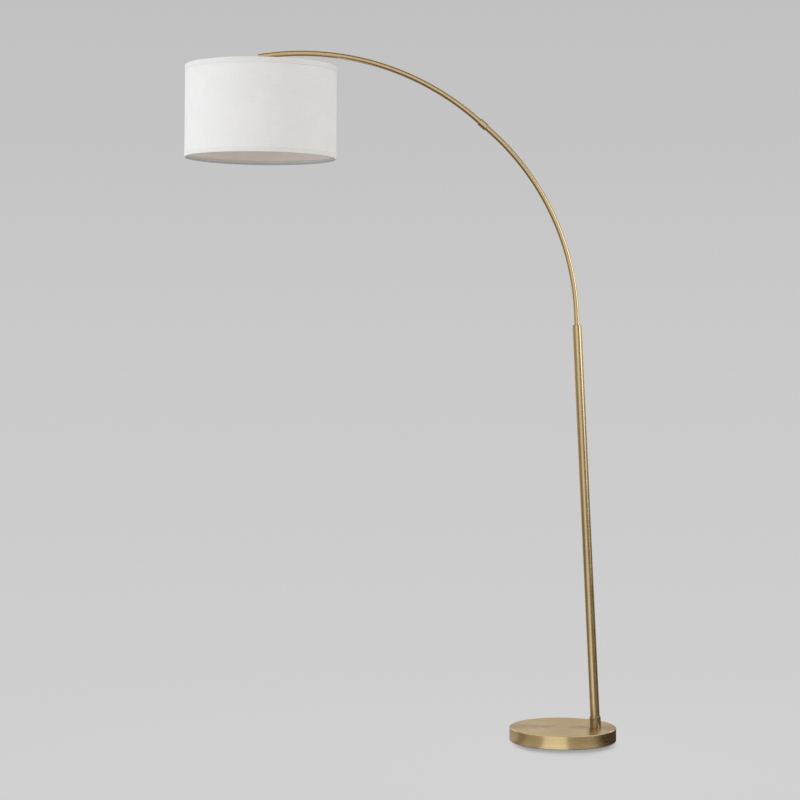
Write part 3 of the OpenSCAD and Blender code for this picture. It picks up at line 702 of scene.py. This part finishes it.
# %% Black paint, zinc and powder coat
RUBBED = (42.0, 4.0)
CLOUDS = (240.0, 4.0)
PEEL = (900.0, 2.0)
black_paint = skin(
    "black_paint", (0.028, 0.027, 0.027),
    (*RUBBED, 0.8, 1.35), (*RUBBED, 0.56, 0.42), (1100.0, 2.0, 0.04 * MM),
)
zinc_plate = skin(
    "zinc_plate", (0.66, 0.67, 0.68),
    (*CLOUDS, 0.88, 1.06), (*CLOUDS, 0.26, 0.42), (2400.0, 3.0, 0.02 * MM), Metallic=1.0,
)
powder_coat = skin(
    "powder_coat", (0.80, 0.79, 0.765),
    (55.0, 3.0, 0.96, 1.02), (*PEEL, 0.36, 0.48), (*PEEL, 0.05 * MM),
)
plate_screws = [name for name in frame["nodes"] if name.startswith("plate_screw")]
dress(black_paint, "bottom_plate", "collar_screw", "stop_screw")
dress(zinc_plate, *plate_screws, "foot_plug", "foot_stud", "foot_washer", "foot_nut", "arm_spigot")
dress(powder_coat, "shade_spider", "shade_top_ring", "shade_bottom_ring")
print("plate screws:", len(plate_screws))

# %% [markdown]
# ## Plastics, rubber and the bulb
#
# Moulded parts have a fine skin that is never perfectly even, and the lamp's are of four kinds:
# brown and black phenolic, pale nylon, soft PVC round the leads, and rubber in the outlet. The bulb's
# glass is frosted inside and white, so it is made half see-through with a soft blur.

# %% Moulded parts
MOULD_GRAIN = (1500.0, 3.0)
RUBBER_GRAIN_DEPTH = 0.05 * MM


def moulded(name, colour, rough, depth=0.015 * MM, mottle=0.06, **shader_values):
    """Colour that drifts over centimetres by mottle, and a fine grain in roughness and bump."""
    tone = (130.0, 4.0, 1 - mottle, 1 + mottle)
    grain = (*MOULD_GRAIN, rough * 0.8, rough * 1.2)
    return skin(name, colour, tone, grain, (*MOULD_GRAIN, depth), **shader_values)


# %% Dress the plastics and the bulb
nylon = moulded(
    "nylon", (0.76, 0.75, 0.71), 0.45,
    Subsurface_Weight=0.15, Subsurface_Radius=(0.002, 0.002, 0.0015),
)
frosted = moulded(
    "frosted_glass", (0.93, 0.93, 0.915), 0.36, mottle=0.01,
    Transmission_Weight=0.55, IOR=1.5,
)
dress(moulded("phenolic_brown", (0.052, 0.030, 0.022), 0.34, mottle=0.25), "holder_core", "holder_sleeve")
dress(moulded("phenolic_black", (0.018, 0.018, 0.018), 0.22, mottle=0.12, Coat_Weight=0.3), "switch_knob")
dress(nylon, "terminal_block")
dress(moulded("rubber", (0.024, 0.024, 0.025), 0.72, RUBBER_GRAIN_DEPTH), "lead_bushing")
dress(moulded("lead_pvc", (0.72, 0.71, 0.67), 0.38), "pole_lead", "arm_lead")
dress(frosted, "bulb_globe")
dress(moulded("bulb_glass_black", (0.012, 0.012, 0.014), 0.12), "bulb_insulator")
dress(zinc_plate, "bulb_cap", "bulb_contact")
bulb_low, bulb_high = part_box("bulb_globe")
print("the bulb's glass is", round(bulb_high[0] - bulb_low[0], 3), "m across")

# %% [markdown]
# ## Linen
#
# Linen is a plain weave of uneven threads: now and then a thread swells to a slub that runs for a few
# centimetres. Threads of real geometry would be far too many for a shade that is seen whole, so the
# weave is a pattern. It follows the strip's own flat coordinates, and so bends round the shade
# without stretching. Two sine waves make the threads, two stretched noises make the slubs, and a
# third noise makes the slight clouds of a cloth glued to a liner.

# %% The linen's threads
THREAD = 0.62 * MM
THREAD_WAVER = 1.2 * MM
CLOTH_CLOUD = 0.012
SHADE_RAMP = 3 * MM
SHADE_REACH = 14 * MM


def linen(name, colour, slub=0.035, shaded_from=None):
    """
    height = |sin| of the warp where the chequer of crossings is up, and |sin| of the weft elsewhere.
    The gaps between threads are darker, and slubs are lighter or darker by slub. Where a width is
    given for the inner hem, shade is painted on the cloth from that width on, less dark towards
    the cut edge.
    """
    finish, shader = new_finish(
        name, colour, Roughness=0.86, Specular_IOR_Level=0.25,
        Sheen_Weight=0.12, Sheen_Roughness=0.5,
    )
    flat = add(finish, "UVMap", uv_map="cloth").outputs[0]
    parts = add(finish, "SeparateXYZ", {0: flat}).outputs
    waver = noise(finish, flat, 90.0)
    waves = []
    for part in (parts[0], parts[1]):
        drifted = plus(finish, part, times(finish, waver, THREAD_WAVER))
        waves.append(math_node(finish, "SINE", times(finish, drifted, math.pi / THREAD)))
    crossing = times(finish, waves[0], waves[1])
    warp = math_node(finish, "ABSOLUTE", waves[0])
    weft = math_node(finish, "ABSOLUTE", waves[1])
    over = spread(finish, crossing, 0.0, 1.0, -0.3, 0.3)
    threads = add(finish, "Mix", {0: over, 2: warp, 3: weft}).outputs[0]
    slubs = crossed_noise(finish, flat, (18, 1250, 1), (1250, 24, 1), 3.0)
    clouds = noise(finish, flat, 16.0, 3.0)
    tone = spread(finish, slubs, 1 - slub, 1 + slub, 0.75, 1.25)
    tone = times(finish, tone, spread(finish, threads, 0.965, 1.012, 0.0, 1.0))
    tone = times(finish, tone, spread(finish, clouds, 1 - CLOTH_CLOUD, 1 + CLOTH_CLOUD))
    # Painted shade on the tape's inner hem, out of the light inside the rim: darker from the given width on,
    # and less dark towards the cut edge.
    if shaded_from:
        painted_shade = spread(finish, parts[1], 1.0, 0.60, shaded_from, shaded_from + SHADE_RAMP)
        shade_easing = spread(finish, parts[1], 1.0, 1.36, shaded_from + SHADE_RAMP, shaded_from + SHADE_REACH)
        tone = times(finish, tone, times(finish, painted_shade, shade_easing))
    link(tint(finish, colour, tone), shader, "Base Color")
    relief = plus(finish, threads, times(finish, slubs, 0.8))
    link(bump(finish, relief, 0.10 * MM, 0.6), shader, "Normal")
    return finish


# %% Cover the shade with it
LINEN = (0.875, 0.860, 0.836)
# The tape is the same linen. Its darker colour is painted shade: a doubled band lets less light through from
# behind than the single cloth does.
TAPE_SHADED_LINEN = (0.835, 0.82, 0.79)
TAPE_SHADE_FROM = 14 * MM
linen_finish = linen("linen", LINEN)
tape_finish = linen("linen_tape", TAPE_SHADED_LINEN, slub=0.045, shaded_from=TAPE_SHADE_FROM)

make_part(shade_linen, "arm", "shade_fabric", linen_finish, "shade_fabric", "shade_seam")
make_part(top_tape, "arm", "shade_tape", tape_finish, "shade_top_trim")
make_part(bottom_tape, "arm", "shade_tape", tape_finish, "shade_bottom_trim")

# %% [markdown]
# ## The liner behind the linen
#
# The liner is a sheet of styrene. Light from outside barely comes through it, so the inside of the
# shade is a soft grey; the warm pinkish tint of the light in there is painted into the liner's colour.
# It has a slight ripple of a few centimetres from being rolled, and a faint grain. It could be
# see-through, but with the bulb off that would hardly show.

# %% Styrene
RIPPLE = (26.0, 2.0)
# The styrene itself is white. Its pinkish tint is painted light: the warm light inside the shade.
styrene = skin(
    "styrene", (0.83, 0.745, 0.69),
    (*RIPPLE, 0.975, 1.02), (1300.0, 3.0, 0.48, 0.62), (*RIPPLE, 0.6 * MM), 0.5,
)
dress(styrene, "shade_liner")
liner_in = about_shade("shade_liner")[0]
print("the liner is", round(2 * liner_in, 3), "m across inside")

# %% [markdown]
# ## Wool felt
#
# Felt is pressed wool: short fibres in every direction, matted to a soft surface. Real hairs would
# be lost in the shadow under the base. Noise stretched one way, and the same noise stretched the
# other way, look like crossing fibres, and cost almost nothing.

# %% Felt
def wool_felt():
    """Two noises stretched at right angles give fibres in colour and bump."""
    colour = (0.050, 0.066, 0.058)
    finish, shader = new_finish(
        "wool_felt", colour, Roughness=0.95, Specular_IOR_Level=0.1,
        Sheen_Weight=0.35, Sheen_Roughness=0.6,
    )
    at = object_point(finish)
    fibres = crossed_noise(finish, at, (260, 1900, 1900), (1900, 260, 1900), 4.0)
    link(tint(finish, colour, spread(finish, fibres, 0.6, 1.5, 0.7, 1.3)), shader, "Base Color")
    link(bump(finish, fibres, 0.35 * MM), shader, "Normal")
    return finish


make_part(felt_pad, "stand", "felt", wool_felt(), "base_felt")

# %% [markdown]
# ## The floor
#
# The lamp stands in an endless pale grey studio. Close to the base the floor has to take real light,
# because the dark line where the base meets it is what makes a heavy thing look heavy. Further out
# that would need lamps strong enough to spoil the brass, so there the floor simply shows the grey
# that it should have. A formula of the place gives both, and is kept in the mesh as numbers at its
# points: the glow, how much the lamps count, and a painted shadow that deepens the dark line in front of the
# base.

# %% Make the floor
FLOOR_RADIUS = 90.0
FLOOR_LEVEL = -0.2 * MM
FLOOR_GREY = 0.505
FLOOR_BOUNCE = 0.40


def floor_disc(rings=460, spokes=160):
    """Rings whose radius is the fourth power of an even step, so that they are close near the base."""
    ring = np.linspace(0.02, 1, rings)[:, None] ** 4 * FLOOR_RADIUS
    turn = np.linspace(0, 2 * math.pi, spokes)[None, :]
    return grid(ring * np.cos(turn), ring * np.sin(turn), FLOOR_LEVEL)


floor_points = floor_disc()
floor = surface("floor", floor_points)
floor_x = floor_points[..., 0]
floor_y = floor_points[..., 1]
from_base = np.hypot(floor_x, floor_y)
print("floor points:", from_base.size)

# %% The numbers that the floor keeps
BACKDROP = 0.588
NEAR_GLOW = 0.058
BASE_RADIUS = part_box("base_cover")[1][0]
LIT_RADIUS = 0.108
LIT_FADE = 0.032
# A shadow painted on the paper in front of the base: how much darker it is, and how far it reaches.
PAINTED_SHADOW_DARK = 0.2
PAINTED_SHADOW_REACH = 0.035


def keep(piece, name, values):
    """Stores one number a point in a mesh."""
    layer = piece.data.attributes.new(name, "FLOAT", "POINT")
    layer.data.foreach_set("value", values.astype(np.float32).ravel())


# The grey fades over a few metres, and behind the base it is a little dimmer than in front.
far_dim = 0.016 * floor_y / (1 + from_base ** 2)
keep(floor, "glow", BACKDROP + NEAR_GLOW / (1 + from_base / 3.5) - far_dim)

# The lamps count up to LIT_RADIUS at the sides, and further out in front and behind.
either_way = smooth_step(1.2 * np.abs(floor_y) / from_base)
from_shadow = np.hypot(floor_x / (1 + 0.09 * either_way), floor_y / (1 + 0.75 * either_way))
keep(floor, "lit", 1 - smooth_step((from_shadow - LIT_RADIUS) / LIT_FADE))

# In front a shadow is painted on the paper, over its reach from the base.
in_front = smooth_step(-1.2 * floor_y / from_base)
painted_shadow_near = smooth_step(1.5 - (from_base - BASE_RADIUS) / PAINTED_SHADOW_REACH)
keep(floor, "contact", 1 - PAINTED_SHADOW_DARK * in_front * painted_shadow_near)
print("floor grey near the base:", round(BACKDROP + NEAR_GLOW, 3))


# %% Rays, and light that browns as it dims
def stored(finish, name):
    """A number kept in the mesh."""
    return add(finish, "Attribute", attribute_name=name).outputs["Fac"]


def seen_ray(finish):
    """1 for the rays of the camera, of reflections and through glass, and 0 for those that carry light."""
    path = add(finish, "LightPath").outputs
    seen = math_node(finish, "MAXIMUM", path["Is Camera Ray"], path["Is Glossy Ray"])
    return math_node(finish, "MAXIMUM", seen, path["Is Transmission Ray"])


def warm_shadows(finish, level):
    """
    Light whose red, green and blue rise with the powers 1, 1.1 and 1.24 of the level, so that a dim
    corner is brown and a bright panel is white. A reflection in a reflection is dimmed to 0.45.
    """
    depth = add(finish, "LightPath").outputs["Glossy Depth"]
    level = times(finish, level, spread(finish, depth, 1.0, 0.45, 1.0, 2.0))
    green = times(finish, math_node(finish, "POWER", level, 1.10), 1.062)
    blue = times(finish, math_node(finish, "POWER", level, 1.24), 1.218)
    colour = add(finish, "CombineXYZ", {0: level, 1: green, 2: blue}).outputs[0]
    return add(finish, "Emission", {"Color": colour, "Strength": 1.0}).outputs[0]


# %% Materials that show on one side
def empty_finish(name):
    """A material whose nodes are still to come. It isn't sampled as a lamp."""
    finish = bpy.data.materials.new(name)
    finish.use_nodes = True
    finish.node_tree.nodes.clear()
    finish.cycles.emission_sampling = "NONE"
    return finish


def front_only(finish, shown):
    """Shows a shader on the front of a mesh and leaves its back clear."""
    clear = add(finish, "BsdfTransparent").outputs[0]
    back = add(finish, "NewGeometry").outputs["Backfacing"]
    both = add(finish, "MixShader", {0: back, 1: shown, 2: clear}).outputs[0]
    add(finish, "OutputMaterial", {"Surface": both})


# %% The floor's paper
def floor_paper():
    """
    Diffuse grey near the base and for all rays that carry light, darker where the stored contact
    value paints a shadow; the stored glow further out; and the stored mirror value in reflections.
    """
    finish = empty_finish("floor_paper")
    mirrored = add(finish, "LightPath").outputs["Is Glossy Ray"]
    grey = spread(finish, seen_ray(finish), FLOOR_BOUNCE, FLOOR_GREY, 0, 1)
    # The stored contact value paints a shadow on the paper in front of the base.
    grey = times(finish, grey, stored(finish, "contact"))
    colour = add(finish, "CombineXYZ", {0: grey, 1: grey, 2: grey}).outputs[0]
    paper = add(finish, "BsdfDiffuse", {"Color": colour}).outputs[0]
    glow = add(finish, "Emission", {"Strength": stored(finish, "glow")}).outputs[0]
    mirror = warm_shadows(finish, stored(finish, "mirror"))
    shown = add(finish, "MixShader", {0: mirrored, 1: glow, 2: mirror}).outputs[0]
    far = math_node(finish, "SUBTRACT", 1.0, stored(finish, "lit"))
    share = math_node(finish, "MAXIMUM", far, mirrored)
    share = times(finish, seen_ray(finish), share)
    front_only(finish, add(finish, "MixShader", {0: share, 1: paper, 2: shown}).outputs[0])
    return finish


floor.data.materials.append(floor_paper())

# %% [markdown]
# ## What the brass reflects
#
# Polished metal has almost no colour of its own: it shows the room. In a studio that room is shaped
# with white panels, a tall strip light and black flags. They could be real boards and lamps, but
# then each would also light the cloth. Here they are painted on one dome that stands round the lamp
# and that only reflections see. Its brightness is a formula of the direction and the height: a plain
# level, with soft-edged panels laid over it one after another. Reflections that go down meet the
# floor, so the same formula gives the floor its own mirror brightness.

# %% Panels with soft edges
def window(x, start, end, soft):
    """1 between start and end, falling to 0 over soft at each of them."""
    return smooth_step((x - start) / soft + 0.5) * smooth_step((end - x) / soft + 0.5)


def panel(level, amount, brightness):
    """Lays a panel over a level: amount is how much of it shows, from 0 to 1."""
    return level + (brightness - level) * amount


# %% The brightness of the room
def room_brightness(side, height):
    """
    side is the direction in degrees, 0 towards the front of the room and 90 to the right; height is
    in metres. The panels, in order: the side walls; the back wall with a bright stripe, dimmer low
    down in its middle and on its right; the gap in front, and above it the screen with its own
    bright band; a white board on the left in two strengths, dimmer at knee height, where the wall
    beyond it is brighter; the wall and then the strip light on the right, which dim downwards; a
    shade over the top of the white board; and the ceiling with its own panel.
    """
    rise = smooth_step((height + 0.05) / 1.5)
    late = smooth_step((height - 0.15) / 1.3)
    stripe = window(height, 0.98, 2.0, 0.55)
    middle = window(height, 0.15, 0.65, 0.3)
    low = window(height, 0.45, 0.95, 0.3)
    either_side = np.abs(side)
    level = 0.14 + 0.28 * rise + 0 * side
    back_wall = 0.40 - 0.16 * smooth_step((height - 1.6) / 1.0) + 0.54 * stripe
    level = panel(level, window(either_side, 126, 400, 24), back_wall)
    back_dim = 0.12 * low * window(either_side, 163, 400, 10)
    right_dim = 0.22 * low * window(side, 110, 176, 5)
    level = level * (1 - back_dim - right_dim)
    gap = 0.17 + 0.10 * rise + 0.20 * window(side, -20, 16, 12)
    level = panel(level, window(side, -5, 48, 10), gap)
    screen = 0.66 + 0.52 * window(height, 1.62, 1.87, 0.16)
    level = panel(level, window(side, -12, 19, 12) * smooth_step((height - 1.02) / 0.45), screen)
    white_board = window(side, -50, -5, 13)
    level = panel(level, white_board, 0.46 + 0.40 * rise)
    level = panel(level, window(side, -29, -5, 13), 0.74 + 0.10 * rise)
    level = level * (1 - 0.17 * middle * white_board + 0.45 * middle * window(side, -170, -72, 20))
    level = panel(level, window(side, 46, 124, 14), 0.04 + 0.42 * smooth_step(height / 1.3))
    level = panel(level, window(side, 51, 79, 12), 0.02 + 2.20 * late)
    level = level * (1 - 0.27 * window(side, -44, -8, 8) * smooth_step((height - 1.5) / 0.2))
    level = panel(level, smooth_step((height - 3.0) / 0.8), 0.14)
    return panel(level, window(side, -95, 80, 40) * window(height, 3.1, 4.35, 0.5), 0.56)


# %% The brightness of the floor in a mirror
def floor_brightness(side, distance):
    """
    The same for the floor. Right beside the base a point is seen in the base's wall, which doubles
    its direction: it is white in front and grey on the left, with a dark stripe between them, and
    gets darker to the right. Further out it is darker except in front and behind, and darker still
    on the left between 0.3 and 0.6 m, and then comes the room.
    """
    seen = side * (2 - smooth_step((distance - 0.15) / 0.5))
    away = smooth_step((distance - 0.30) / 0.25)
    near = 0.38 - 0.35 * smooth_step((seen - 38) / 92)
    near = panel(near, window(seen, -300, -160, 18), 0.42)
    near = panel(near, window(seen, -158, -124, 12), 0.22)
    near = panel(near, away, 0.20 - 0.12 * smooth_step((seen - 8) / 40))
    near = panel(near, window(seen, -62, 4, 12), 0.80 - 0.07 * away)
    near = panel(near, window(np.abs(side), 140, 400, 30) * away, 0.45)
    near = near * (1 - 0.35 * window(side, -400, -85, 20) * window(distance, 0.30, 0.62, 0.10))
    return panel(near, smooth_step((distance - 0.9) / 1.1), room_brightness(side, 0 * side))


floor_side = np.degrees(np.arctan2(floor_x, -floor_y))
keep(floor, "mirror", floor_brightness(floor_side, from_base))


# %% The dome of panels
DOME_RADIUS = 3.6
DOME_MIDDLE = 1.0
DOME_DROP = 0.99


def dome_points(columns=241, rows=81):
    """
    A sphere round a point DOME_MIDDLE above the floor, cut off DOME_DROP below that point and seen
    from inside: direction across, rise upwards.
    """
    side = np.radians(np.linspace(180, -180, columns))[:, None]
    rise = np.linspace(-math.asin(DOME_DROP / DOME_RADIUS), math.pi / 2, rows)[None, :]
    across = DOME_RADIUS * np.cos(rise)
    height = DOME_MIDDLE + DOME_RADIUS * np.sin(rise) + 0 * side
    points = grid(across * np.sin(side), -across * np.cos(side), height)
    return points, room_brightness(np.degrees(side), height)


def panel_glow():
    """Shows the stored glow and lights nothing. The backs of the panels are clear."""
    finish = empty_finish("panel_glow")
    front_only(finish, warm_shadows(finish, stored(finish, "glow")))
    return finish


def only_mirrored(piece, brightness):
    """Keeps a brightness in the piece. Reflections see it; the camera and the light don't."""
    keep(piece, "glow", brightness)
    piece.data.materials.append(panel_finish)
    for ray in ("camera", "diffuse", "transmission", "shadow"):
        setattr(piece, "visible_" + ray, False)
    print(piece.name, "glows from", brightness.min().round(2), "to", brightness.max().round(2))


panel_finish = panel_glow()
dome_grid, dome_glow = dome_points()
only_mirrored(surface("panel_dome", dome_grid), dome_glow)

# %% [markdown]
# ## A flag and a card
#
# The dome is the same for the whole lamp, and two places need something of their own. The underside
# of the arm looks down on the bright floor in front, which would make the tube too light below, so
# a dark flag lies under it and is seen only from above. The thin bevel of the base looks straight
# up at the dark ceiling, so a white card lies over it, seen only from below, and gives it its
# bright line. The order of a grid's two directions decides which of its sides is the front.

# %% The flag under the arm
FLAG_HEIGHT = 1.20
flag_x = np.linspace(-2.6, -0.30, 24)[:, None]
flag_y = np.linspace(-3.0, -0.12, 30)[None, :]
flag_glow = 0.10 + 0.45 * smooth_step((flag_x + 0.95) / 0.5) * smooth_step((-flag_y - 0.5) / 0.5)
only_mirrored(surface("arm_flag", grid(flag_x, flag_y, FLAG_HEIGHT)), flag_glow)

# %% The card over the base
CARD_HEIGHT = 0.45
CARD_GLOW = 0.72
card_turn = np.radians(np.linspace(-125, 125, 61))[:, None]
card_reach = np.linspace(0.15, 0.62, 12)[None, :]
card_x = card_reach * np.sin(card_turn)
card_y = -card_reach * np.cos(card_turn)
only_mirrored(surface("base_card", grid(card_x, card_y, CARD_HEIGHT)), np.full(card_x.shape, CARD_GLOW))

# %% [markdown]
# ## Light
#
# The cloth and the floor are lit by an even sky and three lamps: a large soft one on the left that
# leads, a large one on the right that fills, and one behind with a grid in front of it, which lights
# the floor and leaves the back of the shade alone. Together they light a white surface to just under
# white. The brass doesn't see them, because it has the panels.

# %% The sky
SKY_LEVEL = 0.97
SKY_HIGH = 0.38
SKY_HIGH_SINE = 0.61


def sky():
    """
    Shown rays see a grey that darkens with the sine of the elevation; rays that carry light see an
    even level.
    """
    world = bpy.data.worlds.new("studio")
    world.use_nodes = True
    bpy.context.scene.world = world
    world.node_tree.nodes.clear()
    direction = add(world, "TexCoord").outputs["Generated"]
    height = add(world, "SeparateXYZ", {0: direction}).outputs[2]
    shown = spread(world, height, BACKDROP, SKY_HIGH, 0.0, SKY_HIGH_SINE)
    level = add(world, "Mix", {0: seen_ray(world), 2: SKY_LEVEL, 3: shown}).outputs[0]
    background = add(world, "Background", {"Color": (1, 1, 1, 1), "Strength": level}).outputs[0]
    add(world, "OutputWorld", {"Surface": background})


sky()
print("the sky lights with", SKY_LEVEL, "and shows", BACKDROP, "at the horizon")


# %% The lamps
def soft_lamp(name, place, aim, size, power, colour=(1, 1, 1), spread_degrees=180):
    """A square area lamp that faces a point. A grid in front of it can narrow its beam."""
    data = bpy.data.lights.new(name, "AREA")
    data.size = size
    data.energy = power
    data.color = colour
    data.spread = math.radians(spread_degrees)
    lamp = new_object(name, data)
    lamp.location = place
    away = Vector(place) - Vector(aim)
    lamp.rotation_euler = away.to_track_quat("Z", "Y").to_euler()
    lamp.visible_glossy = False
    print(name, "is", round(away.length, 2), "m from what it faces")


soft_lamp("lamp_left", (-4.45, -1.8, 1.5), (-0.7, 0, 1.4), 1.8, 54, (0.91, 0.96, 1.03))
soft_lamp("lamp_right", (3.1, -1.4, 0.9), (-0.7, 0, 1.4), 1.8, 18, (1.0, 0.975, 0.93))
soft_lamp("lamp_behind", (0.4, 3.5, 2.15), (0, 0, 0), 1.4, 6.5, spread_degrees=50)
